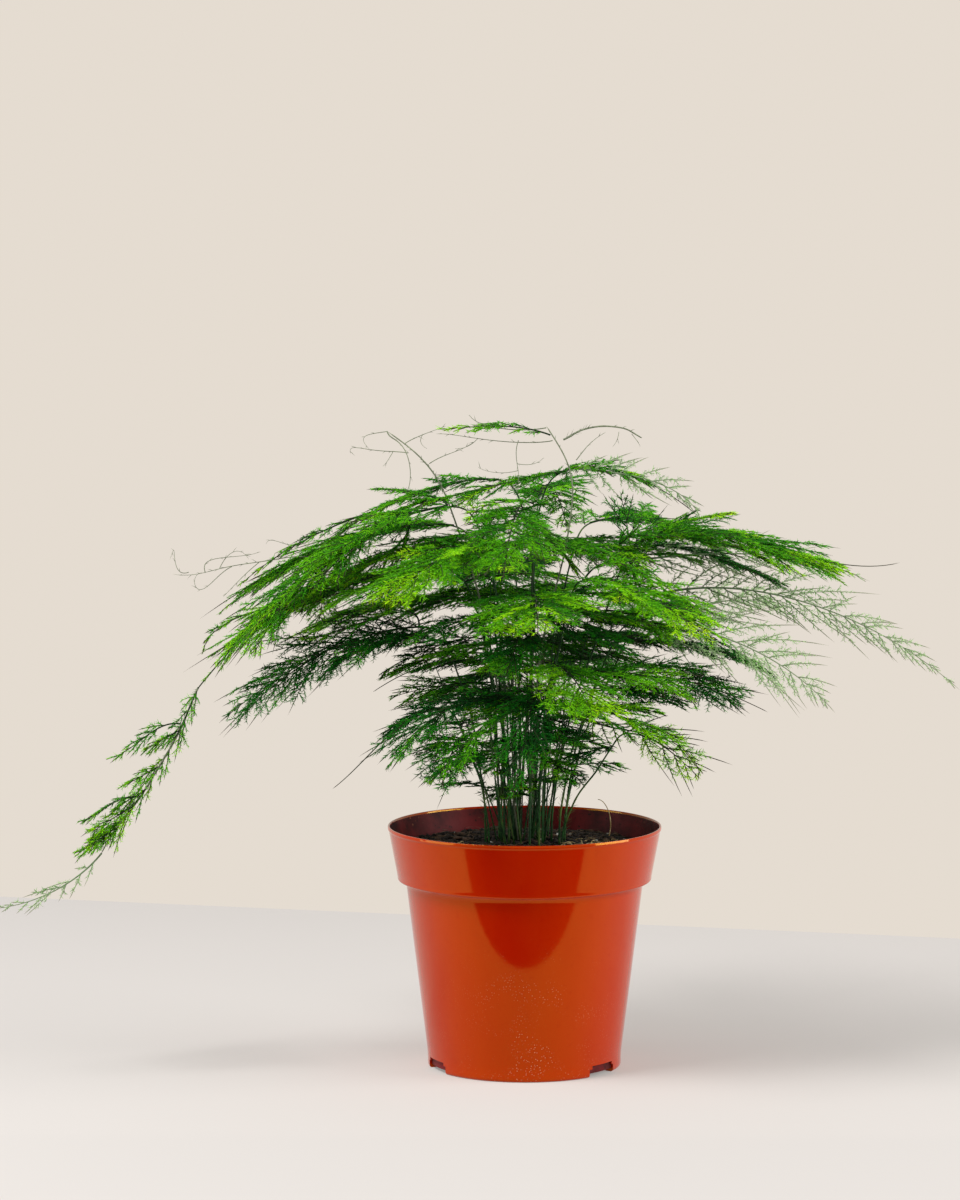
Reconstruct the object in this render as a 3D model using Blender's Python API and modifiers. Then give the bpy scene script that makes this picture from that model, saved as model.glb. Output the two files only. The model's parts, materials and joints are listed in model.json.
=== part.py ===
"""A potted asparagus fern: a tapered plastic nursery pot with drain notches, its soil, and a
tuft of wiry stems that each carry flat, feathery sprays.

Metres, +Z up. The origin is the middle of the pot's flat base. +X is the plant's right-hand
side and -Y is its front. Every height in the plant is measured from the pot's rim, so the
plant follows the pot. Each spray is one thin curved blade: the outline that its needles fill.
"""

import math
from collections import namedtuple

import bmesh
import bpy
from mathutils import Vector

# ---------------------------------------------------------------- driving dimensions

GAP = 0.0003                    # left between pieces that touch

POT_HEIGHT = 0.115
RIM_RADIUS = 0.065
BASE_RADIUS = 0.046
WALL = 0.0011
FLOOR = 0.0014
BAND_HEIGHT = 0.0255            # the wide band under the rim
BAND_FLARE = 0.0047             # how much the band widens towards the rim
BAND_STEP = 0.0039              # how far the band stands out from the body
STEP_HEIGHT = 0.0016            # height of the sloping shelf between body and band
SHELF_LIFT = 0.9                # the shelf's thickness, as a share of the wall
FOOT_HEIGHT = 0.006             # straight part of the wall above the base
BASE_FILLET = 0.0016
LIP_RADIUS = 0.00055            # rounding of the rim's top edge, half the wall

NOTCH_COUNT = 3
NOTCH_FIRST_ANGLE = -156.0      # degrees from +X, the notch at the front left
NOTCH_WIDTH = 0.019
NOTCH_HEIGHT = 0.0055
NOTCH_DEPTH = 0.010             # inwards from the base's edge
NOTCH_ROUNDING = 0.0015

SOIL_BELOW_RIM = 0.0110         # at the wall
SOIL_MOUND = 0.0035             # how much higher the soil is in the middle

STEM_RADIUS = 0.0007
SHOOT_RADIUS = 0.0005           # the thin bare shoots
FOOT_RINGS = (0.0, 0.0065, 0.0130, 0.0195)   # radii at which the stems leave the soil

SPRAY_THICKNESS = 0.0014
SPRAY_EDGE_DROOP = 0.14         # how far a blade's edges hang, as a share of its half width
SPRAY_END_HALF_WIDTH = 0.0008
SPRAY_WIDEST_AT = 0.75          # exponent that sets where along a blade it is widest

TURN_STEPS = 60
SPRAY_STATIONS = 10
STEM_POINTS = 11
STEM_BEVEL = 2

# ---------------------------------------------------------------- the plant

# A stem with the spray at its end. ring counts into FOOT_RINGS. shoulder is where the stem
# ends and the spray begins, tip is the spray's far end: x, y and height above the rim. rise
# and droop are the angles in degrees at which the spray leaves the stem and ends at its tip,
# up and down from level.
Frond = namedtuple("Frond", "name ring shoulder rise tip droop half_width tone")

FRONDS = (
    # the arch across the top
    Frond("arch_left", 1, (-0.006, 0.014, 0.163), 5, (-0.096, 0.036, 0.130), 40, 0.018, "mid"),
    Frond("arch_right", 1, (0.010, 0.004, 0.163), 42, (0.086, 0.006, 0.143), 45, 0.018, "mid"),
    Frond("arch_back", 2, (0.006, 0.026, 0.152), 20, (0.022, 0.145, 0.125), 35, 0.026, "mid"),
    # the wide canopy
    Frond("long_left", 2, (-0.026, -0.016, 0.154), 0, (-0.152, -0.030, 0.070), 50, 0.024, "mid"),
    Frond("long_right", 2, (0.048, -0.010, 0.132), 38, (0.176, -0.016, 0.127), -15, 0.024, "young"),
    Frond("front_left", 2, (-0.018, -0.026, 0.136), 5, (-0.058, -0.098, 0.114), 40, 0.026, "young"),
    Frond("front_right", 2, (0.024, -0.028, 0.120), 5, (0.086, -0.096, 0.096), 35, 0.022, "young"),
    Frond("back_right", 2, (0.026, 0.026, 0.140), 10, (0.102, 0.120, 0.114), 35, 0.030, "mid"),
    Frond("back_left", 2, (-0.028, 0.026, 0.140), 5, (-0.150, 0.078, 0.092), 40, 0.026, "mid"),
    # the middle layer
    Frond("left_spread", 2, (-0.030, 0.012, 0.120), 5, (-0.152, 0.034, 0.076), 35, 0.024, "mid"),
    Frond("right_sweep", 3, (0.058, 0.012, 0.108), 15, (0.208, 0.022, 0.062), 42, 0.022, "pale"),
    Frond("front", 3, (0.004, -0.032, 0.112), 15, (0.006, -0.116, 0.104), 25, 0.028, "young"),
    Frond("back_mid", 3, (-0.004, 0.036, 0.116), 10, (-0.022, 0.160, 0.088), 35, 0.030, "deep"),
    # the lower layer
    Frond("low_left", 3, (-0.040, -0.014, 0.096), 5, (-0.143, -0.034, 0.053), 40, 0.022, "deep"),
    Frond("low_right", 3, (0.046, -0.012, 0.098), 5, (0.145, -0.034, 0.058), 50, 0.022, "pale"),
    Frond("lower_right", 3, (0.034, -0.022, 0.072), 15, (0.113, -0.046, 0.060), 25, 0.020, "deep"),
    Frond("front_low", 3, (0.012, -0.032, 0.080), 10, (0.032, -0.106, 0.064), 30, 0.022, "young"),
    Frond("lowest_left", 3, (-0.034, -0.020, 0.058), 10, (-0.090, -0.034, 0.022), 35, 0.018, "deep"),
    Frond("lowest_right", 3, (0.044, -0.020, 0.046), 15, (0.082, -0.042, 0.028), 40, 0.016, "young"),
    Frond("back_low", 3, (0.008, 0.034, 0.078), 10, (0.030, 0.122, 0.052), 35, 0.028, "deep"),
)

# A spray on the side of a stem. at is how far up the parent stem it leaves, from 0 to 1.
SideSpray = namedtuple("SideSpray", "name parent at rise tip droop half_width tone")

SIDE_SPRAYS = (
    SideSpray("arch_front", "arch_left", 0.92, 0, (-0.010, -0.104, 0.126), 30, 0.020, "mid"),
    SideSpray("right_feather", "long_right", 0.96, 5, (0.166, 0.044, 0.112), 25, 0.016, "pale"),
    SideSpray("right_back", "right_sweep", 0.90, 5, (0.130, 0.076, 0.096), 20, 0.018, "pale"),
    SideSpray("left_feather", "left_spread", 0.88, 5, (-0.118, 0.070, 0.080), 25, 0.016, "mid"),
    SideSpray("right_mid", "low_right", 0.90, 5, (0.116, 0.030, 0.070), 25, 0.016, "deep"),
    SideSpray("front_dark", "lowest_left", 0.78, 5, (-0.038, -0.088, 0.030), 30, 0.018, "deep"),
    SideSpray("front_tip", "front_low", 0.80, 0, (0.004, -0.076, 0.036), 40, 0.012, "deep"),
    SideSpray("back_low_left", "back_low", 0.88, 5, (-0.052, 0.096, 0.044), 30, 0.022, "deep"),
    SideSpray("left_mid_back", "left_spread", 0.62, 10, (-0.074, 0.060, 0.056), 30, 0.016, "deep"),
)

# A bare shoot: the smooth path that it follows, x, y and height above the rim. A shoot whose
# first height is None starts in the soil.
Shoot = namedtuple("Shoot", "name tone path")

SHOOTS = (
    Shoot("climbing_shoot", "pale",
          ((0.002, -0.003, None), (0.005, -0.005, 0.060), (0.012, -0.010, 0.105),
           (0.021, -0.017, 0.143), (0.021, -0.018, 0.170), (0.010, -0.014, 0.191))),
    Shoot("crown_twig", "pale",
          ((0.0180, -0.0150, 0.1845), (0.030, -0.014, 0.190), (0.045, -0.013, 0.190),
           (0.055, -0.012, 0.185))),
    Shoot("forked_shoot", "pale",
          ((-0.003, -0.001, None), (-0.012, 0.000, 0.060), (-0.024, -0.001, 0.120),
           (-0.038, 0.001, 0.156), (-0.046, 0.002, 0.172), (-0.065, 0.004, 0.187))),
    Shoot("trailing_shoot", "mid",
          ((-0.1525, -0.0301, 0.0696), (-0.159, -0.031, 0.055), (-0.173, -0.034, 0.028),
           (-0.188, -0.037, 0.008), (-0.198, -0.039, -0.008))),
)

# A small spray on a bare shoot, which it leaves beside the given point of the shoot's path.
ShootSpray = namedtuple("ShootSpray", "name parent at rise tip droop half_width tone")

SHOOT_SPRAYS = (
    ShootSpray("trailing_upper", "trailing_shoot", 0.28, 10, (-0.191, -0.040, 0.038), 20, 0.005, "mid"),
    ShootSpray("trailing_lower", "trailing_shoot", 0.62, 5, (-0.208, -0.030, 0.006), 20, 0.005, "mid"),
    ShootSpray("trailing_tip", "trailing_shoot", 1.0, -50, (-0.247, -0.044, -0.033), 5, 0.006, "pale"),
    ShootSpray("crown", "climbing_shoot", 0.965, 20, (-0.040, -0.012, 0.189), 5, 0.006, "young"),
)

TONES = {
    "deep": (0.010, 0.085, 0.020, 1.0),
    "mid": (0.040, 0.230, 0.020, 1.0),
    "young": (0.180, 0.420, 0.020, 1.0),
    "pale": (0.160, 0.270, 0.110, 1.0),
}
PLASTIC_COLOUR = (0.560, 0.085, 0.022, 1.0)
SOIL_COLOUR = (0.030, 0.018, 0.012, 1.0)
STEM_COLOUR = (0.020, 0.075, 0.020, 1.0)

UP = Vector((0.0, 0.0, 1.0))
FLAT = 1e-6


# ---------------------------------------------------------------- scene and materials

def clear_scene():
    for obj in list(bpy.data.objects):
        bpy.data.objects.remove(obj, do_unlink=True)


def new_collection(name, hidden=False):
    made = bpy.data.collections.new(name)
    made.hide_render = hidden
    bpy.context.scene.collection.children.link(made)
    return made


def material(name, colour, roughness):
    made = bpy.data.materials.get(name) or bpy.data.materials.new(name)
    made.use_nodes = True
    made.diffuse_color = colour
    shader = made.node_tree.nodes["Principled BSDF"]
    shader.inputs["Base Color"].default_value = colour
    shader.inputs["Roughness"].default_value = roughness
    shader.inputs["Metallic"].default_value = 0.0
    return made


def add_object(name, data, collection, finish=None):
    obj = bpy.data.objects.new(name, data)
    collection.objects.link(obj)
    if finish is not None:
        data.materials.append(finish)
    return obj


# ---------------------------------------------------------------- curves through space

def bezier(start, start_handle, end_handle, end, count):
    """count points along one cubic curve."""
    points = []
    for i in range(count):
        t = i / (count - 1)
        s = 1.0 - t
        points.append(start * s**3 + start_handle * 3 * s * s * t
                      + end_handle * 3 * s * t * t + end * t**3)
    return points


def smooth_path(knots, count):
    """count points on a smooth curve that passes through every knot."""
    padded = [knots[0] * 2 - knots[1], *knots, knots[-1] * 2 - knots[-2]]
    spans = len(knots) - 1
    points = []
    for i in range(count):
        place = i / (count - 1) * spans
        k = min(int(place), spans - 1)
        t = place - k
        a, b, c, d = padded[k:k + 4]
        points.append((b * 2 + (c - a) * t + (a * 2 - b * 5 + c * 4 - d) * t**2
                       + (b * 3 - a - c * 3 + d) * t**3) * 0.5)
    return points


def along(points, share):
    """The point and the direction at a share, 0 to 1, of a row of points."""
    place = share * (len(points) - 1)
    k = min(int(place), len(points) - 2)
    step = points[k + 1] - points[k]
    return points[k] + step * (place - k), step.normalized()


def heading(start, end, angle):
    """The level direction from start to end, turned up by angle degrees."""
    level = Vector((end.x - start.x, end.y - start.y, 0.0)).normalized()
    lift = math.radians(angle)
    return level * math.cos(lift) + UP * math.sin(lift)


def above_rim(place):
    return Vector((place[0], place[1], POT_HEIGHT + place[2]))


# ---------------------------------------------------------------- pot and soil

def arc(centre, radius, start, end, count):
    """Points on a profile's rounded corner, from start to end degrees."""
    angles = [math.radians(start + (end - start) * i / (count - 1)) for i in range(count)]
    return [(centre[0] + radius * math.cos(a), centre[1] + radius * math.sin(a)) for a in angles]


def body_top_radius():
    return RIM_RADIUS - BAND_FLARE - BAND_STEP


def wall_corners():
    """Radius and height of each corner of the pot's outer wall, from the rim down."""
    band_low = POT_HEIGHT - BAND_HEIGHT
    return (
        (RIM_RADIUS, POT_HEIGHT),
        (RIM_RADIUS - BAND_FLARE, band_low),
        (body_top_radius(), band_low - STEP_HEIGHT),
        (BASE_RADIUS, FOOT_HEIGHT),
        (BASE_RADIUS, 0.0),
    )


def inner_wall(inset):
    """The wall's corners moved towards the axis, and the shelf's two corners upwards."""
    rim, band, body, foot, base = wall_corners()
    return (
        (rim[0] - inset, rim[1]),
        (band[0] - inset, band[1] + inset * SHELF_LIFT),
        (body[0] - inset, body[1] + inset * SHELF_LIFT),
        (foot[0] - inset, foot[1]),
        (base[0] - inset, base[1]),
    )


def radius_at(corners, height):
    """The radius of a row of corners, from the top down, at a height."""
    for (r_high, z_high), (r_low, z_low) in zip(corners, corners[1:]):
        if z_low <= height <= z_high:
            share = (height - z_low) / max(z_high - z_low, FLAT)
            return r_low + (r_high - r_low) * share
    return corners[0][0]


def soil_height(radius):
    """Height of the soil's surface at a distance from the axis."""
    edge = POT_HEIGHT - SOIL_BELOW_RIM
    reach = radius_at(inner_wall(WALL + GAP), edge)
    return edge + SOIL_MOUND * (1.0 - (radius / reach) ** 2)


def turned(name, profile, collection, finish):
    """A round solid from a profile of radius and height, which runs down its outer side."""
    mesh = bpy.data.meshes.new(name)
    bm = bmesh.new()
    verts = [bm.verts.new((r, 0.0, z)) for r, z in profile]
    for a, b in zip(verts, verts[1:]):
        bm.edges.new((a, b))
    bm.to_mesh(mesh)
    bm.free()
    obj = add_object(name, mesh, collection, finish)
    screw = obj.modifiers.new("turn", "SCREW")
    screw.axis = "Z"
    screw.angle = math.tau
    screw.steps = TURN_STEPS
    screw.render_steps = TURN_STEPS
    screw.use_merge_vertices = True
    screw.merge_threshold = 0.00001
    screw.use_smooth_shade = True
    return obj


def notch_cutter(index, collection):
    """A rounded block that cuts one drain notch through the wall and the floor's edge."""
    mesh = bpy.data.meshes.new("notch_cutter")
    bm = bmesh.new()
    bmesh.ops.create_cube(bm, size=1.0)
    reach = 2 * NOTCH_DEPTH
    bmesh.ops.scale(bm, verts=bm.verts, vec=(reach, NOTCH_WIDTH, 2 * NOTCH_HEIGHT))
    bm.to_mesh(mesh)
    bm.free()
    cutter = add_object(f"notch_cutter_{index + 1}", mesh, collection)
    angle = math.radians(NOTCH_FIRST_ANGLE + 360.0 / NOTCH_COUNT * index)
    cutter.location = (BASE_RADIUS * math.cos(angle), BASE_RADIUS * math.sin(angle), 0.0)
    cutter.rotation_euler = (0.0, 0.0, angle)
    cutter.hide_render = True
    cutter.display_type = "WIRE"
    rounding = cutter.modifiers.new("rounding", "BEVEL")
    rounding.width = NOTCH_ROUNDING
    rounding.segments = 3
    return cutter


def build_pot(parts, cutters):
    rim, band, body, foot, base = wall_corners()
    inside = inner_wall(WALL)
    lip_centre = (RIM_RADIUS - LIP_RADIUS, POT_HEIGHT - LIP_RADIUS)
    fillet_centre = (BASE_RADIUS - BASE_FILLET, BASE_FILLET)
    profile = [(0.0, FLOOR), (inside[4][0], FLOOR), inside[3], inside[2], inside[1]]
    profile += arc(lip_centre, LIP_RADIUS, 180, 0, 7)
    profile += [band, body, foot]
    profile += arc(fillet_centre, BASE_FILLET, 0, -90, 4)
    profile += [(0.0, 0.0)]
    pot = turned("pot", profile, parts, material("terracotta_plastic", PLASTIC_COLOUR, 0.3))
    for index in range(NOTCH_COUNT):
        cut = pot.modifiers.new(f"notch_{index + 1}", "BOOLEAN")
        cut.operation = "DIFFERENCE"
        cut.object = notch_cutter(index, cutters)
    return pot


def build_soil(parts):
    corners = inner_wall(WALL + GAP)
    edge = POT_HEIGHT - SOIL_BELOW_RIM
    reach = radius_at(corners, edge)
    mound = [(reach * i / 5, soil_height(reach * i / 5)) for i in range(6)]
    floor = FLOOR + GAP
    sides = [corner for corner in corners if floor < corner[1] < edge]
    profile = mound + sides + [(radius_at(corners, floor), floor), (0.0, floor)]
    return turned("soil", profile, parts, material("potting_soil", SOIL_COLOUR, 0.95))


# ---------------------------------------------------------------- stems and sprays

def tube(name, points, radius, collection, finish):
    """A round wire along a row of points, with closed ends."""
    curve = bpy.data.curves.new(name, "CURVE")
    curve.dimensions = "3D"
    curve.bevel_depth = radius
    curve.bevel_resolution = STEM_BEVEL
    curve.use_fill_caps = True
    spline = curve.splines.new("POLY")
    spline.points.add(len(points) - 1)
    for knot, place in zip(spline.points, points):
        knot.co = (*place, 1.0)
    return add_object(name, curve, collection, finish)


def blade_width(share, half_width):
    """Half the width of a spray at a share of its length: widest in its first third."""
    full = half_width * math.sin(math.pi * share**SPRAY_WIDEST_AT)
    return max(full, SPRAY_END_HALF_WIDTH)


def spray(name, start, rise, tip, droop, half_width, tone, collection):
    """A thin blade that arches from start to tip, with edges that hang a little."""
    length = (tip - start).length
    leave = heading(start, tip, rise)
    arrive = heading(start, tip, -droop)
    ribs = bezier(start, start + leave * length / 3, tip - arrive * length / 3, tip,
                  SPRAY_STATIONS)
    mesh = bpy.data.meshes.new(name)
    bm = bmesh.new()
    bmesh.ops.create_grid(bm, x_segments=SPRAY_STATIONS - 1, y_segments=2, size=0.5)
    for vert in bm.verts:
        share = vert.co.x + 0.5
        side = round(vert.co.y * 2)
        place, direction = along(ribs, share)
        across = UP.cross(direction).normalized()
        width = blade_width(share, half_width)
        normal = direction.cross(across)
        vert.co = place + across * (width * side) - normal * (width * SPRAY_EDGE_DROOP * abs(side))
    bm.to_mesh(mesh)
    bm.free()
    made = add_object(name, mesh, collection, material(f"foliage_{tone}", TONES[tone], 0.6))
    body = made.modifiers.new("thickness", "SOLIDIFY")
    body.thickness = SPRAY_THICKNESS
    body.offset = 0.0
    return made


def stem_path(frond):
    """From the soil straight up, then outwards to the shoulder."""
    shoulder = above_rim(frond.shoulder)
    ring = FOOT_RINGS[frond.ring]
    outwards = Vector((shoulder.x, shoulder.y, 0.0)).normalized()
    foot = outwards * ring + UP * (soil_height(ring) + GAP)
    length = (shoulder - foot).length
    leave = heading(shoulder, above_rim(frond.tip), frond.rise)
    bend = (leave + UP * 2.0).normalized()
    return bezier(foot, foot + UP * length * 0.35, shoulder - bend * length * 0.30, shoulder,
                  STEM_POINTS)


def side_start(points, share, tip, radius, rise):
    """Just off a stem's surface, on the side that faces the spray's tip."""
    place, direction = along(points, share)
    leave = heading(place, tip, rise)
    if share >= 1.0:
        return place + direction * GAP
    level = (leave - direction * leave.dot(direction)).normalized()
    return place + level * (radius + 2 * GAP)


def build_plant(parts):
    stem_finish = material("stem_green", STEM_COLOUR, 0.5)
    stems = {}
    for frond in FRONDS:
        points = stem_path(frond)
        stems[frond.name] = points
        tube(f"stem_{frond.name}", points, STEM_RADIUS, parts, stem_finish)
        tip = above_rim(frond.tip)
        start = points[-1] + heading(points[-1], tip, frond.rise) * (STEM_RADIUS + GAP)
        spray(f"spray_{frond.name}", start, frond.rise, tip, frond.droop, frond.half_width,
              frond.tone, parts)
    for side in SIDE_SPRAYS:
        tip = above_rim(side.tip)
        start = side_start(stems[side.parent], side.at, tip, STEM_RADIUS, side.rise)
        spray(f"spray_{side.name}", start, side.rise, tip, side.droop, side.half_width,
              side.tone, parts)


def build_shoots(parts):
    stem_finish = material("stem_green", STEM_COLOUR, 0.5)
    paths = {}
    for shoot in SHOOTS:
        knots = []
        for x, y, height in shoot.path:
            if height is None:
                knots.append(Vector((x, y, soil_height(math.hypot(x, y)) + GAP)))
            else:
                knots.append(above_rim((x, y, height)))
        points = smooth_path(knots, STEM_POINTS)
        paths[shoot.name] = points
        tube(shoot.name, points, SHOOT_RADIUS, parts, stem_finish)
    for side in SHOOT_SPRAYS:
        tip = above_rim(side.tip)
        start = side_start(paths[side.parent], side.at, tip, SHOOT_RADIUS, side.rise)
        spray(f"spray_{side.name}", start, side.rise, tip, side.droop, side.half_width,
              side.tone, parts)


def main():
    clear_scene()
    parts = new_collection("potted_fern")
    cutters = new_collection("cutters", hidden=True)
    build_pot(parts, cutters)
    build_soil(parts)
    build_plant(parts)
    build_shoots(parts)


main()
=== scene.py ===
"""Looks of the potted asparagus fern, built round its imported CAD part.

The pot and soil are turned again with their fine shape, each stem becomes a thin knotty wire, and
each flat blade becomes a feathery spray: a midrib, side shoots, twigs and thousands of needles.
Metres, in the row frame: the origin is the middle of the pot's base, +Z up and -Y the front.
"""

import json
import math
from collections import namedtuple

import bmesh
import bpy
import numpy as np
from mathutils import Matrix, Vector, noise


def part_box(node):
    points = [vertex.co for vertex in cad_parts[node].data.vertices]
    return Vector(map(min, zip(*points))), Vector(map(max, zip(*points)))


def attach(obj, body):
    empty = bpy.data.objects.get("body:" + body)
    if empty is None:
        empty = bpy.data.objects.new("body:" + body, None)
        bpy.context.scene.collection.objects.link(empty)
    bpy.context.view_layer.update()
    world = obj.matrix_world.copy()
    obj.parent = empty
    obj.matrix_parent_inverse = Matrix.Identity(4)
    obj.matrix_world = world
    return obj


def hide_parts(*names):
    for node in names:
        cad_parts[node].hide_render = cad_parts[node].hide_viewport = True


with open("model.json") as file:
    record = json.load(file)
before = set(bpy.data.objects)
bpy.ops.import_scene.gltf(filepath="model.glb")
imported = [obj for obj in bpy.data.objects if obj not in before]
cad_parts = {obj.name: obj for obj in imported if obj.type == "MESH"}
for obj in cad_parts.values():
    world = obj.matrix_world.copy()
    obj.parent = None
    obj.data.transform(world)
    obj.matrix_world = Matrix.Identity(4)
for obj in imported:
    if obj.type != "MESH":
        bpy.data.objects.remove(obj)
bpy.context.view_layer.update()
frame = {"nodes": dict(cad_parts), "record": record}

MM = 0.001
TINY = 1e-12
UP = np.array((0.0, 0.0, 1.0))
MAP = "OFBake"                  # the mesh map that carries hue and lightness
MAP_ROUND = 0.006               # how wide a strand is on that map

# ---- small maths


def unit(vectors):
    return vectors / np.maximum(np.linalg.norm(vectors, axis=-1, keepdims=True), TINY)


def even(count, first=0, last=1):
    """Numbers evenly spread from first to last."""
    return np.linspace(first, last, count)


class Path:
    """A smooth polynomial curve near some points. share runs from 0 to 1 along it."""

    def __init__(self, points, degree=3, shares=None):
        points = np.asarray(points, float)
        if shares is None:
            shares = even(len(points))
        self.terms = np.polyfit(shares, points, degree)
        self.powers = np.arange(degree, -1, -1)
        fine = self.at(even(60))
        self.length = np.linalg.norm(np.diff(fine, axis=0), axis=1).sum()

    def at(self, share):
        return np.power.outer(np.asarray(share, float), self.powers) @ self.terms

    def heading(self, share):
        slope = self.terms[:-1] * self.powers[:-1, None]
        return unit(np.power.outer(np.asarray(share, float), self.powers[1:]) @ slope)


def measured(points):
    """How far along a row of points each one is, from 0 to 1."""
    run = np.concatenate([[0], np.cumsum(np.linalg.norm(np.diff(points, axis=0), axis=1))])
    return run / run[-1]


class Shoots:
    """Many thin branches, each a parabola: from start, along ahead, pulled aside by bend."""

    def __init__(self, start, ahead, bend, normal):
        self.start, self.ahead, self.bend, self.normal = start, ahead, bend, normal
        self.length = np.linalg.norm(ahead + bend, axis=1)

    def __len__(self):
        return len(self.start)

    def at(self, which, share):
        share = share[:, None]
        return self.start[which] + self.ahead[which] * share + self.bend[which] * share**2

    def heading(self, which, share):
        return unit(self.ahead[which] + 2 * self.bend[which] * share[:, None])

    def lines(self, points):
        share = even(points)[None, :, None]
        return self.start[:, None] + self.ahead[:, None] * share + self.bend[:, None] * share**2


def spaced(rng, lengths, gap, first, last):
    """Which branch, how far up it and on which side, for a twig every gap along each branch."""
    counts = np.maximum(((last - first) * lengths / gap).astype(int), 1)
    which = np.repeat(np.arange(len(counts)), counts)
    step = np.arange(counts.sum()) - np.repeat(np.cumsum(counts) - counts, counts)
    share = first + (last - first) * (step + rng.random(len(step)) * 0.7) / counts[which]
    return which, share, np.where(step % 2, 1.0, -1.0)


# ---- reading the CAD frame


def sections(node, corners):
    """The cross-sections of a swept CAD node, from the end nearest the pot's axis outwards."""
    mesh = frame["nodes"][node].data
    places = np.array([v.co[:] for v in mesh.vertices])
    places, index = np.unique(places.round(6), axis=0, return_inverse=True)
    edges = index.reshape(-1)[np.array([e.vertices[:] for e in mesh.edges])]
    apart = np.linalg.norm(places[:, None] - places[None], axis=2)
    ends = np.unravel_index(apart.argmax(), apart.shape)
    start = min(ends, key=lambda end: np.hypot(*places[end, :2]))
    near = [set() for _ in places]
    for a, b in edges:
        near[a].add(b)
        near[b].add(a)
    ring = set(np.argsort(apart[start])[:corners])
    seen = set(ring)
    found = []
    while ring:
        found.append(places[sorted(ring)])
        ring = set().union(*(near[i] for i in ring)) - seen
        seen |= ring
    return found


def nodes_named(start):
    return sorted(node for node in frame["nodes"] if node.startswith(start))


def stem_line(node):
    """The centre line of a CAD stem."""
    return Path([ring.mean(0) for ring in sections(node, 8)], 5)


def blade_shape(node):
    """The midrib of a CAD spray, and half its width at each of its stations."""
    middles, widths = [], []
    for ring in sections(node, 6):
        off = np.linalg.norm(ring - ring.mean(0), axis=1)
        middles.append(ring[np.argsort(off)[:2]].mean(0))
        widths.append(off.max())
    return Path(middles, 3), np.array(widths)


# ---- meshes


WOOD_LIGHT = 0.05               # the map's second number on a woody strand


def woody(hue):
    """The two map numbers of woody strands, from the hue at each point."""
    return np.stack([hue, np.full(hue.shape, WOOD_LIGHT)], -1)


def linked(name, data):
    """A new object in the scene, which holds a mesh, a light or a camera."""
    made = bpy.data.objects.new(name, data)
    bpy.context.scene.collection.objects.link(made)
    return made


def mesh_from(bm, name):
    mesh = bpy.data.meshes.new(name)
    bm.to_mesh(mesh)
    bm.free()
    return mesh


class Shape:
    """Vertices and faces gathered into one mesh, with two map numbers at each vertex."""

    def __init__(self):
        self.verts, self.loops, self.sizes, self.tones = [], [], [], []
        self.count = 0

    def add(self, verts, loops, sizes, tones):
        self.verts.append(verts)
        self.loops.append(loops + self.count)
        self.sizes.append(sizes)
        self.tones.append(tones)
        self.count += len(verts)

    def tubes(self, lines, radii, sides, tones):
        """Closed round strands that end in a point. lines is (strands, points, 3), radii the
        same without the 3, and tones is (strands, points, 2)."""
        count, points = lines.shape[:2]
        forward = unit(np.gradient(lines, axis=1))
        steep = abs(forward.mean(1)[:, 2:]) > 0.8
        guide = np.where(steep, (1.0, 0.0, 0.0), (0.0, 0.0, 1.0))[:, None]
        across = unit(np.cross(forward, guide))
        lift = np.cross(across, forward)
        turn = np.arange(sides) * math.tau / sides
        round_x, round_y = np.cos(turn)[:, None], np.sin(turn)[:, None]
        ring = across[:, :-1, None] * round_x + lift[:, :-1, None] * round_y
        ring = lines[:, :-1, None] + ring * radii[:, :-1, None, None]
        verts = np.concatenate([ring.reshape(count, -1, 3), lines[:, -1:]], 1)
        shift = np.concatenate([round_x, round_y], 1) * MAP_ROUND
        tone = (tones[:, :-1, None] + shift).reshape(count, -1, 2)
        tone = np.concatenate([tone, tones[:, -1:]], 1)
        loops, sizes = [], []
        for j in range(points - 2):
            for k in range(sides):
                a, b = j * sides + k, j * sides + (k + 1) % sides
                loops += [a, a + sides, b + sides, b]
                sizes.append(4)
        last = (points - 2) * sides
        for k in range(sides):
            loops += [last + k, last + sides, last + (k + 1) % sides]
            sizes.append(3)
        loops += list(range(sides))
        sizes.append(sides)
        size = verts.shape[1]
        loops = np.array(loops) + np.arange(count)[:, None] * size
        self.add(verts.reshape(-1, 3), loops.ravel(), np.tile(sizes, count),
                 tone.reshape(-1, 2).clip(0.005, 0.995))

    def wire(self, points, radius, tip, sides=6):
        """One strand along a row of points. tip is the share of its radius at its end."""
        line = np.asarray(points, float)[None]
        share = even(line.shape[1])[None]
        self.tubes(line, radius * (1 - (1 - tip) * share), sides, woody(0.3 + 0.1 * share))

    def build(self, name, finish, replaced=None):
        """The finished mesh object, riding on the part's only body."""
        verts, loops = np.concatenate(self.verts), np.concatenate(self.loops)
        sizes, tones = np.concatenate(self.sizes), np.concatenate(self.tones)
        mesh = bpy.data.meshes.new(name)
        mesh.vertices.add(len(verts))
        mesh.vertices.foreach_set("co", verts.astype(np.float32).ravel())
        mesh.loops.add(len(loops))
        mesh.loops.foreach_set("vertex_index", loops.astype(np.int32))
        mesh.polygons.add(len(sizes))
        mesh.polygons.foreach_set("loop_start", (np.cumsum(sizes) - sizes).astype(np.int32))
        mesh.update(calc_edges=True)
        mesh.shade_smooth()
        layer = mesh.uv_layers.new(name=MAP)
        layer.uv.foreach_set("vector", tones[loops].astype(np.float32).ravel())
        mesh.materials.append(finish)
        add_piece(name, mesh, replaced)


def add_piece(name, mesh, replaced=None):
    """A piece of the plant or pot, and the CAD node that it takes the place of, if any."""
    piece = linked(name, mesh)
    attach(piece, "root")
    if replaced:
        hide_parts(replaced)
    return piece


# ---- finishes


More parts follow.
